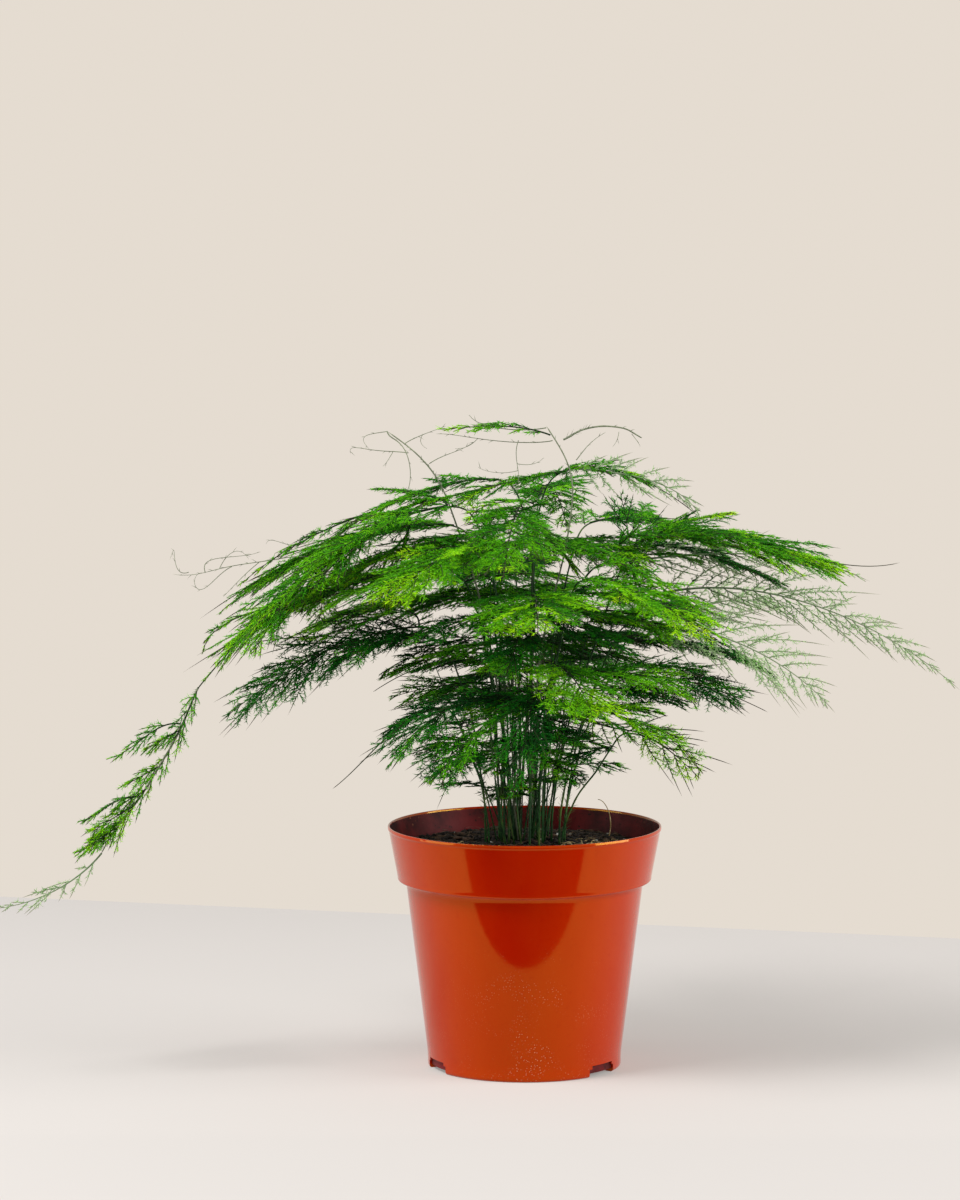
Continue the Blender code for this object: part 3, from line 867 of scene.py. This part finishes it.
def side_shoots(rng, path, half, habit, clad):
    """The shoots on both sides of a midrib, which reach out to the spray's outline."""
    count = max(int(path.length * 0.95 / habit.gap), 5)
    share, side = [], []
    for way in (-1.0, 1.0):
        row = ((np.arange(count) + (0.25 if way > 0 else 0.75)) / count) ** 0.86
        row = (0.02 + 0.95 * row + rng.normal(0, 0.2 / count, count)).clip(0.01, 0.985)
        share.append(row * clad)
        side.append(np.full(count, way))
    share, side = np.concatenate(share), np.concatenate(side)
    along = path.heading(share)
    level = unit(np.cross(UP, along))
    tip_over = habit.facing * level[:, 1:2] + rng.normal(0, 0.10)
    across = level * np.cos(tip_over) + np.cross(along, level) * np.sin(tip_over)
    normal = np.cross(along, across)
    lean = np.radians(habit.angle[0] + (habit.angle[1] - habit.angle[0]) * share
                      + rng.normal(0, 7, len(share)))
    stations = even(len(half))
    full = np.maximum(half, 0.62 * half.max() * (1 - 2.2 * stations))
    outline = np.interp((share + 0.10).clip(0, 1), stations, full)
    outline *= np.clip((clad - share) / clad * 5, 0.4, 1)
    reach = (outline / np.sin(lean) * rng.uniform(0.80, 1.35, len(share)) + 0.003)[:, None]
    room = ((clad - share) * path.length * 0.8 + 0.005) / np.cos(lean)
    reach = np.minimum(reach, room[:, None] * rng.uniform(0.85, 1.1, reach.shape))
    out = along * np.cos(lean)[:, None] + across * (np.sin(lean) * side)[:, None]
    lift = rng.normal(0.05, 0.07, (len(share), 1))
    ahead = (out + normal * lift) * reach * 0.9
    sag = habit.droop * rng.uniform(0.3, 1.7, (len(share), 1))
    bend = (along * rng.uniform(0.1, 0.4, (len(share), 1)) - UP * sag) * reach
    roll = rng.normal(0, 0.20, (len(share), 1))
    flat = unit(np.cross(normal, unit(ahead)))
    return Shoots(path.at(share), ahead, bend, normal * np.cos(roll) + flat * np.sin(roll)), share


def branch(rng, parent, gap, first, last, angle, size):
    """Twigs on both sides of each shoot, in the plane of the spray."""
    which, share, side = spaced(rng, parent.length, gap, first, last)
    along, normal = parent.heading(which, share), parent.normal[which]
    across = unit(np.cross(normal, along))
    reach = (parent.length * size)[which] * (1 - share) ** 0.7
    reach *= rng.uniform(0.5, 1.3, len(share))
    reach = np.minimum(reach + 0.0012, TWIG_LONGEST)[:, None]
    lean = np.radians(angle + rng.normal(0, 9, len(share)))[:, None]
    out = along * np.cos(lean) + across * np.sin(lean) * side[:, None]
    ahead = (out + normal * rng.normal(0, 0.14, (len(share), 1))) * reach * 0.85
    bend = (along * 0.22 - UP * 0.10) * reach
    return Shoots(parent.at(which, share), ahead, bend, normal), which, share


def needles(rng, parent, close, sizes, last):
    """Where each needle of some shoots starts and ends, and how far up its shoot it is."""
    which, share, _ = spaced(rng, parent.length, close, 0.04, last)
    count = len(share)
    along, normal = parent.heading(which, share), parent.normal[which]
    across = unit(np.cross(normal, along))
    fan = np.radians(rng.uniform(12, 70, count) * rng.choice((-1.0, 1.0), count))[:, None]
    tilt = rng.normal(0, 0.24, (count, 1))
    out = unit(along * np.cos(fan) + across * np.sin(fan) + normal * tilt)
    length = rng.uniform(*sizes, count)[:, None] * (1.10 - 0.50 * share[:, None])
    start = parent.at(which, share)
    return np.stack([start, start + out * length], 1), which, share


def strand_rows(count, points, ends):
    """For each strand, numbers that run evenly from one end's to the other's."""
    return np.broadcast_to(even(points, *ends), (count, points))


def grown(shape, rng, path, half, habit, first=0.0, clad=1.0):
    """Adds one whole spray to a shape: midrib, side shoots, twigs and needles. The midrib's
    end, past clad, is bare."""
    share = even(34, first, 1)
    thick = RIB_BASE + 0.0020 * min(path.length, 0.12)
    shape.tubes(path.at(share)[None], (thick - (thick - RIB_TIP) * share)[None], 6,
                woody(0.1 + 0.8 * share**2)[None])
    shoots, root = side_shoots(rng, path, half, habit, clad)
    own = rng.normal(0, 0.15, len(shoots))
    shape.tubes(shoots.lines(8), strand_rows(len(shoots), 8, SHOOT_RADII), 4,
                woody(strand_rows(len(shoots), 8, (0.2, 1.0))))
    twigs, owner, up = branch(rng, shoots, 0.0023, 0.06, 0.97 - habit.tip * 1.3, 44,
                              habit.twig * (1.15 - 0.55 * root))
    shape.tubes(twigs.lines(4), strand_rows(len(twigs), 4, TWIG_RADII), 3,
                woody(np.full((len(twigs), 4), 0.25)))
    for parent, close, line, last in ((shoots, habit.close * 1.2, None, 1 - habit.tip),
                                      (twigs, habit.close, owner, 0.98)):
        spikes, which, place = needles(rng, parent, close, habit.needle, last)
        shoot = which if line is None else line[which]
        reach = place if line is None else up[which]
        hue = (habit.hue + own[shoot] + habit.ripen * root[shoot] ** 1.5
               + 0.16 * (reach - 0.4) + rng.normal(0, 0.09, len(place)))
        # Lightness is painted shade and random tone: needles nearer the midrib, at their shoot's
        # base, are darker, and it also varies at random from shoot to shoot and needle to needle.
        light = 0.62 + own[shoot] * 0.5 + rng.normal(0, 0.13, len(place)) + 0.15 * (reach - 0.5)
        hue, light = hue.clip(0.02, 0.94), light.clip(WOOD_EDGE + 0.08, 0.95)
        tones = np.stack([np.stack([hue, hue + 0.04], 1), np.stack([light, light + 0.04], 1)], 2)
        radii = np.full((len(place), 2), NEEDLE_RADIUS)
        shape.tubes(spikes, radii, 3, tones)


def arching(start, turn, reach, rise, droop):
    """A path that leaves start at a rise and ends at a droop. Angles are in radians."""
    level = np.array((math.cos(turn), math.sin(turn), 0.0))
    leave = level * math.cos(rise) + UP * math.sin(rise)
    arrive = level * math.cos(droop) - UP * math.sin(droop)
    share = even(10)[:, None]
    return Path(start + reach * (leave * (share - share**2 / 2) + arrive * share**2 / 2), 3)


def leaf_outline(half_width):
    return half_width * np.sin(math.pi * even(10) ** 0.75) + 0.0008


# Sprays that carry no smaller sprays of their own.
PLAIN = ("arch_left", "arch_right", "arch_back", "right_feather", "right_back", "right_sweep",
         "low_right", "lowest_left", "lowest_right", "front", "front_low", "crown")
# The share of a midrib that carries shoots, where its end is bare.
CLAD = {"arch_right": 0.62, "lowest_left": 0.46, "left_mid_back": 0.50, "lower_right": 0.84,
        "long_right": 0.78}
# How some sprays differ from the others of their tone.
CHANGED = {
    "low_left": {"facing": 0.55},
    "lower_right": {"facing": 0.30},
    "lowest_right": {"facing": 0.80, "gap": 0.0066, "twig": 0.18, "tip": 0.30, "hue": 0.40},
}
# The share of the CAD blade's width that some sprays take up.
SLIM = {"arch_right": 0.5, "right_sweep": 0.85, "arch_back": 0.7, "arch_left": 0.8,
        "lowest_left": 0.7, "left_mid_back": 0.6, "back_right": 0.7, "back_low_left": 0.8}
OFFSHOOT_FROM = 0.082           # sprays longer than this carry smaller sprays of their own


def offshoots(shape, rng, path, habit):
    """Smaller sprays on both sides of a long midrib."""
    if path.length < OFFSHOOT_FROM:
        return
    count = int(path.length / 0.029)
    for k in range(count):
        share = 0.03 + 0.62 * (k + rng.uniform(0, 0.7)) / count
        heading = path.heading(share)
        pitch = math.asin(heading[2])
        side = 1 if (k + count) % 2 else -1
        turn = math.atan2(heading[1], heading[0]) + side * math.radians(rng.uniform(22, 46))
        reach = path.length * rng.uniform(0.30, 0.42) * (1.05 - 0.5 * share)
        limb = arching(path.at(share), turn, reach, pitch + rng.normal(0.03, 0.08),
                       -pitch + rng.uniform(0.10, 0.42))
        grown(shape, rng, limb, leaf_outline(reach * 0.20), habit)


def build_sprays(finishes):
    slots = {row["node"]: row["material_slot"] for row in frame["record"]["subparts"]}
    for order, node in enumerate(nodes_named("spray_")):
        rng = np.random.default_rng(100 + order)
        tone = slots[node].removeprefix("foliage_")
        path, half = blade_shape(node)
        has_stem = node.replace("spray_", "stem_") in frame["nodes"]
        shape = Shape()
        name = node.removeprefix("spray_")
        habit = HABITS[tone]._replace(**CHANGED.get(name, {}))
        grown(shape, rng, path, half * SLIM.get(name, 1.0), habit,
              0.06 if has_stem else -0.015, CLAD.get(name, 1.0))
        if name not in PLAIN:
            offshoots(shape, rng, path, habit)
        shape.build(node.replace("spray_", "needles_"), finishes[tone], node)


FILL_LOW, FILL_HIGH = 0.150, 0.250      # heights between which stems carry side sprays
FILL_EVERY = 0.024
TUFTS = (0.126, 0.148)          # heights between which every other stem has one short tuft
DEEP_BELOW = 0.215              # below this height the side sprays have the deep tone
FILL_TURNS = (-95.0, 55.0, -35.0, 120.0, 10.0, -140.0)   # degrees from the stem's own lean


def build_side_growth(finishes):
    """The smaller sprays that each stem carries below its end, all round the plant."""
    for order, node in enumerate(nodes_named("stem_")):
        rng = np.random.default_rng(400 + order)
        stem = stem_line(node)
        climb = even(80)
        line = stem.at(climb)
        lean = math.atan2(line[-1, 1], line[-1, 0])
        top = min(FILL_HIGH, line[-1, 2] - 0.004)
        heights = np.arange(top, FILL_LOW, -FILL_EVERY) - rng.uniform(0, 0.006)
        tufts = rng.uniform(*TUFTS, order % 2)
        shape = Shape()
        for k, height in enumerate([*heights, *tufts], order):
            start = stem.at(np.interp(height, line[:, 2], climb))
            aside = FILL_TURNS[k % len(FILL_TURNS)] + rng.normal(0, 14)
            turn = lean + math.radians(aside)
            grows = min(1.0, 0.35 + (height - TUFTS[0]) / 0.13)      # the lower, the shorter
            reach = rng.uniform(0.046, 0.076) * grows
            path = arching(start, turn, reach, rng.uniform(0, 0.22), rng.uniform(0.15, 0.5))
            habit = HABITS["deep" if height < DEEP_BELOW else "mid"]
            grown(shape, rng, path, leaf_outline(reach * 0.24), habit)
        if shape.count:
            tone = "deep" if line[-1, 2] < DEEP_BELOW else "mid"
            shape.build(node.replace("stem_", "side_needles_"), finishes[tone])


# Sprays that fill the crown between the CAD ones, each named and with its tone, half width and
# midrib points, as x, y and height above the rim, all in mm. The lime one wears the young finish.
INNER_SPRAYS = {
    "arch_flow": ("mid", 14, (-39, -5, 157), (-73, -8, 141), (-94, -12, 120), (-106, -14, 101)),
    "arch_fringe": ("pale", 9, (24, -2, 169), (45, 0, 168), (68, 2, 160), (83, 4, 147)),
    "left_quill": ("mid", 4, (-96, 22, 138), (-107, 22, 133), (-122, 24, 123), (-135, 25, 113)),
    "left_outer": ("mid", 8, (-92, -8, 112), (-110, -10, 108), (-136, -11, 99), (-152, -12, 84)),
    "left_over": ("young", 13, (-52, -18, 136), (-84, -20, 127), (-107, -24, 109),
                  (-131, -28, 86)),
    "left_under": ("mid", 13, (-31, -32, 127), (-59, -36, 122), (-83, -40, 112), (-99, -43, 101)),
    "left_thin": ("mid", 7, (-50, -22, 104), (-73, -25, 100), (-91, -27, 95), (-106, -29, 92)),
    "left_dark": ("deep", 13, (-42, -16, 94), (-64, -20, 90), (-82, -22, 83), (-97, -25, 71)),
    "left_crown": ("mid", 18, (-12, -12, 140), (-36, -16, 138), (-59, -20, 132), (-80, -25, 119)),
    "mid_crown": ("mid", 18, (8, -16, 140), (-12, -40, 137), (-38, -50, 130), (-60, -55, 119)),
    "arch_bridge": ("mid", 9, (20, -4, 169), (-2, -6, 165), (-28, -8, 159), (-58, -8, 149)),
    "right_crown": ("mid", 17, (40, -10, 137), (66, -12, 139), (93, -14, 135), (121, -16, 123)),
    "right_over": ("deep", 16, (50, 16, 128), (83, 22, 128), (105, 25, 120), (127, 28, 111)),
    "right_strip": ("young", 8, (34, -28, 128), (59, -40, 120), (78, -45, 108), (90, -48, 100)),
    "right_inner": ("deep", 14, (17, -18, 112), (45, -24, 112), (66, -26, 106), (80, -28, 98)),
    "right_dark": ("deep", 12, (28, -12, 98), (46, -14, 98), (57, -16, 95), (68, -18, 88)),
    "right_thin": ("deep", 7, (60, -6, 96), (80, -8, 92), (99, -9, 85), (118, -10, 72)),
    "lower_front": ("mid", 16, (17, -46, 78), (40, -50, 80), (64, -54, 75), (80, -58, 63)),
    "lower_young": ("young", 14, (8, -52, 63), (31, -60, 63), (55, -66, 57), (75, -70, 50)),
    "low_fringe": ("lime", 9, (36, -34, 52), (56, -40, 50), (72, -44, 43), (82, -47, 30)),
    "low_clump": ("deep", 18, (-12, -40, 66), (-36, -52, 61), (-54, -60, 49), (-64, -64, 34)),
    "low_mound": ("mid", 15, (-2, -50, 62), (-21, -66, 53), (-36, -74, 40), (-45, -78, 29)),
    "low_skirt": ("deep", 13, (6, -48, 70), (2, -70, 57), (-3, -82, 40), (-6, -88, 26)),
    "low_twig": ("deep", 8, (-26, -10, 90), (-45, -13, 86), (-60, -15, 78), (-68, -16, 72)),
    "crown_twig": ("young", 6, (6, -10, 152), (-2, -24, 157), (-14, -40, 156), (-26, -54, 150)),
    "dark_left": ("deep", 18, (0, -20, 106), (-20, -30, 103), (-40, -38, 98), (-56, -44, 90)),
    "dark_right": ("deep", 18, (4, -20, 102), (20, -34, 100), (36, -44, 95), (50, -52, 87)),
    "dark_front": ("deep", 16, (0, -24, 98), (-2, -44, 95), (-6, -62, 88), (-10, -76, 78)),
}


def above_rim(points):
    return np.array(points, float) * MM + UP * POT_HEIGHT


def anchors():
    """Points all along the stems and the CAD sprays' midribs."""
    rows = [stem_line(node).at(even(60, 0.3, 1)) for node in nodes_named("stem_")]
    rows += [blade_shape(node)[0].at(even(50, 0, 0.7)) for node in nodes_named("spray_")]
    return np.concatenate(rows)


def build_inner_sprays(finishes):
    """Sprays that grow from the nearest stem or midrib."""
    held = anchors()
    for order, (name, (tone, half, *points)) in enumerate(INNER_SPRAYS.items()):
        rng = np.random.default_rng(700 + order)
        places = above_rim(points)
        nearest = held[np.linalg.norm(held - places[0], axis=1).argmin()]
        places = np.concatenate([nearest[None], places])
        path = Path(places, 3, measured(places))
        shape = Shape()
        grown(shape, rng, path, leaf_outline(half * MM), HABITS[tone])
        offshoots(shape, rng, path, HABITS[tone])
        tone = "young" if tone == "lime" else tone
        shape.build(f"inner_needles_{name}", finishes[tone])


def build_trail(finish):
    """The needles along the hanging shoot at the far left, and its small side sprays."""
    rng = np.random.default_rng(31)
    path = stem_line("trailing_shoot")
    shape = Shape()
    lead = blade_shape("spray_long_left")[0].at(even(9, 0.70, 0.99))
    shape.wire(np.concatenate([lead, path.at(even(4, 0.02, 0.2))]), 0.00034, 0.9)
    clad = Path(path.at(even(12, 0.0, 0.93)), 5)
    grown(shape, rng, clad, np.full(10, 0.0042), HABITS["trail"])
    for share, turn, reach in ((0.30, 2.9, 0.020), (0.46, 3.4, 0.017), (0.58, 2.7, 0.018),
                               (0.66, 3.3, 0.022), (0.74, 2.8, 0.020), (0.80, 3.5, 0.016),
                               (0.86, 3.0, 0.018)):
        limb = arching(path.at(share), turn, reach, -0.5, rng.uniform(0.4, 0.9))
        grown(shape, rng, limb, leaf_outline(0.0035), HABITS["trail"])
    shape.build("needles_trailing_shoot", finish)


def build_thin_stems(finish):
    """Slender stems that stand among the others and cross them."""
    rng = np.random.default_rng(53)
    shape = Shape()
    for _ in range(34):
        r, a = rng.uniform(0.003, 0.017), rng.uniform(0, math.tau)
        foot = np.array((r * math.cos(a), r * math.sin(a), 0.108))
        spread = (rng.uniform(1.6, 2.6), rng.uniform(1.6, 2.6), 0)
        top = foot * spread + UP * rng.uniform(0.18, 0.235)
        top[:2] += rng.normal(0, 0.008, 2)
        middle = (foot + top) / 2 + (*rng.normal(0, 0.002, 2), 0.0)
        path = Path((foot, middle, top), 2)
        shape.wire(path.at(even(24)), 0.00040, 0.6)
        bracts(shape, rng, path, 0.0016, 0.02, 0.9, 0.0036, 0.00013, (0.5, 0.06))
    shape.build("thin_stems", finish)


# A bare twig: its radius and the points that it passes, x, y and height above the rim, in mm.
BARE_TWIGS = {
    "fork_twigs": (
        (0.34, (-65, 4, 187), (-61, 3, 183), (-56, 2, 177), (-54, 1, 166), (-57, 0, 158)),
        (0.24, (-57, 3, 181), (-52, 1, 184), (-45, -1, 187), (-37, -2, 190)),
        (0.22, (-45, 1, 172), (-38, -3, 176), (-31, -7, 179), (-24, -10, 183)),
        (0.24, (-55, 1, 177), (-64, -2, 178), (-73, -4, 179), (-80, -5, 180), (-82, -5, 177)),
        (0.20, (-65, 4, 187), (-72, 2, 186), (-76, 0, 184), (-73, -3, 179)),
        (0.16, (-62, 0, 178), (-65, -1, 173), (-67, -1, 171)),
        (0.16, (-48, 1, 186), (-49, 1, 182), (-46, 1, 179)),
    ),
    "crown_twigs": (
        (0.30, (10, -14, 190), (-4, -13, 189), (-18, -13, 191), (-26, -13, 196)),
        (0.26, (13, -14, 184), (0, -13, 183), (-16, -12, 184), (-30, -12, 186), (-42, -12, 187)),
        (0.22, (-3, -13, 184), (-4, -14, 176), (-3, -14, 168), (-4, -14, 158)),
        (0.16, (-3, -14, 170), (-11, -16, 169), (-18, -17, 170), (-22, -17, 172)),
        (0.16, (-3, -14, 173), (4, -13, 173), (9, -12, 176)),
        (0.16, (-3, -14, 162), (-9, -15, 161), (-14, -15, 162)),
        (0.24, (24, -16, 175), (28, -15, 180), (32, -14, 184), (38, -13, 188)),
        (0.16, (44, -13, 188), (43, -13, 184), (41, -13, 181)),
        (0.16, (50, -12, 187), (53, -12, 183), (54, -12, 181)),
        (0.16, (-22, -12, 185), (-27, -11, 181), (-33, -11, 180)),
    ),
    "left_tangle": (
        (0.30, (-104, 40, 124), (-118, 42, 123), (-130, 43, 121), (-142, 44, 119),
         (-154, 45, 116), (-170, 46, 115)),
        (0.20, (-141, 44, 119), (-150, 42, 112), (-156, 42, 108), (-159, 43, 111),
         (-156, 44, 116)),
        (0.22, (-154, 45, 116), (-153, 46, 121), (-146, 46, 123), (-136, 46, 124),
         (-128, 45, 126)),
        (0.20, (-162, 46, 116), (-168, 46, 119), (-169, 46, 126), (-171, 46, 122)),
        (0.20, (-128, 43, 121), (-135, 40, 115), (-141, 38, 109), (-145, 37, 105)),
        (0.18, (-147, 45, 118), (-143, 47, 124), (-138, 48, 126), (-133, 48, 122)),
        (0.18, (-106, 50, 130), (-114, 50, 129), (-121, 50, 131), (-125, 50, 129)),
        (0.16, (-96, 46, 130), (-102, 48, 131), (-107, 50, 129)),
    ),
}


def build_bare_twigs(finish):
    """Thin leafless twigs, with short hooked spurs along them."""
    rng = np.random.default_rng(77)
    for name, twigs in BARE_TWIGS.items():
        shape = Shape()
        for thick, *points in twigs:
            places = above_rim(points)
            path = Path(places, len(places) - 1)
            shape.wire(path.at(even(26)), thick * MM, 0.4)
            bracts(shape, rng, path, 0.0042, 0.15, 1.0, 0.0036, 0.00013, (0.3, 0.06))
        shape.build(name, finish)


# ---- stage, light and camera

CAMERA_PLACE = (0.0, -2.300, 0.463)
CAMERA_DOWN, CAMERA_TURN = 5.97, 0.527  # degrees
CAMERA_LENS = 146.8
FLOOR_TURN = -14.0              # the floor's far edge runs a little nearer on the right
FLOOR_BACK = 0.395              # how far behind the pot that edge is
FLOOR_SIZE = 7.0
CARD_SIZE, CARD_PLACE = (1.3, 1.4), (0.0, -0.863, 0.002)
WALL_COLOUR = (0.783, 0.716, 0.636, 1.0)
GLOW_COLOUR, GLOW_STRENGTH = (1.0, 1.0, 0.99, 1.0), 0.36
# Each light's name, place, the height that it aims at on the pot's axis, size and power.
LIGHTS = (
    ("key_light", (-0.75, -0.55, 1.45), 0.15, (0.60, 0.60), 23.0),
    ("left_light", (-1.15, -0.25, 0.42), 0.10, (0.8, 1.0), 5.6),
    ("right_light", (1.15, -0.25, 0.42), 0.10, (0.8, 1.0), 15.0),
)


def stage_plane(name, size, place, turn, finish):
    mesh = bpy.data.meshes.new(name)
    x, y = size[0] / 2, size[1] / 2
    mesh.from_pydata([(-x, -y, 0), (x, -y, 0), (x, y, 0), (-x, y, 0)], [], [(0, 1, 2, 3)])
    mesh.materials.append(finish)
    plane = linked(name, mesh)
    plane.location = place
    plane.rotation_euler = (0, 0, math.radians(turn))
    return plane


def soft_light(name, place, target, size, power):
    """A white lit card, turned towards a target."""
    data = bpy.data.lights.new(name, "AREA")
    data.shape = "RECTANGLE"
    data.size, data.size_y = size
    data.energy = power
    light = linked(name, data)
    light.location = place
    light.rotation_euler = (Vector(target) - Vector(place)).to_track_quat("-Z", "Y").to_euler()
    light.visible_camera = False


def build_stage():
    """The floor, a dark card that only the pot's gloss reflects, the wall's colour and lights.
    Camera and glossy rays see the wall's colour, and all the others a soft white glow."""
    floor = Finish("studio_floor", Roughness=0.9, Specular_IOR_Level=0.1,
                   Emission_Color=(1.0, 0.944, 0.898, 1.0), Emission_Strength=0.255)
    faint = floor.grain(3.0, 3.0)
    floor.colour(floor.blend(faint, (0.405, 0.382, 0.362), (0.415, 0.392, 0.372)))
    turn = math.radians(FLOOR_TURN)
    middle = FLOOR_BACK - FLOOR_SIZE / 2
    place = (-middle * math.sin(turn), middle * math.cos(turn), 0.0)
    stage_plane("floor", (FLOOR_SIZE, FLOOR_SIZE), place, FLOOR_TURN, floor.material)
    black = Finish("dark_card", Roughness=1.0)
    black.shader.inputs["Base Color"].default_value = (0.01, 0.01, 0.01, 1.0)
    card = stage_plane("dark_card", CARD_SIZE, CARD_PLACE, 0.0, black.material)
    card.visible_camera = card.visible_diffuse = card.visible_shadow = False
    world = bpy.data.worlds.new("studio")
    world.use_nodes = True
    bpy.context.scene.world = world
    nodes, links = world.node_tree.nodes, world.node_tree.links
    wall, glow = nodes["Background"], nodes.new("ShaderNodeBackground")
    wall.inputs["Color"].default_value = WALL_COLOUR
    glow.inputs["Color"].default_value = GLOW_COLOUR
    glow.inputs["Strength"].default_value = GLOW_STRENGTH
    seen, mix = nodes.new("ShaderNodeLightPath"), nodes.new("ShaderNodeMixShader")
    either = nodes.new("ShaderNodeMath")
    links.new(seen.outputs["Is Camera Ray"], either.inputs[0])
    links.new(seen.outputs["Is Glossy Ray"], either.inputs[1])
    links.new(either.outputs[0], mix.inputs[0])
    links.new(glow.outputs[0], mix.inputs[1])
    links.new(wall.outputs[0], mix.inputs[2])
    links.new(mix.outputs[0], nodes["World Output"].inputs["Surface"])
    for name, place, aim, size, power in LIGHTS:
        soft_light(name, place, (0.0, 0.0, aim), size, power)


def build_camera():
    data = bpy.data.cameras.new("camera")
    data.lens = CAMERA_LENS
    data.sensor_width = 36.0
    camera = linked("camera", data)
    camera.location = CAMERA_PLACE
    camera.rotation_euler = (math.radians(90.0 - CAMERA_DOWN), 0.0, math.radians(CAMERA_TURN))
    bpy.context.scene.camera = camera
    bpy.context.scene.view_settings.view_transform = "Standard"


build_camera()
build_stage()
build_pot()
build_soil()
build_litter()
foliage_finishes = {tone: foliage(f"foliage_{tone}", hues,
                                  TWIG_GREY if tone == "pale" else TWIG_BROWN)
                    for tone, hues in HUES.items()}
green_skin, grey_skin = build_stems()
build_thin_stems(green_skin)
build_bare_twigs(grey_skin)
build_sprays(foliage_finishes)
build_side_growth(foliage_finishes)
build_inner_sprays(foliage_finishes)
build_trail(foliage_finishes["mid"])
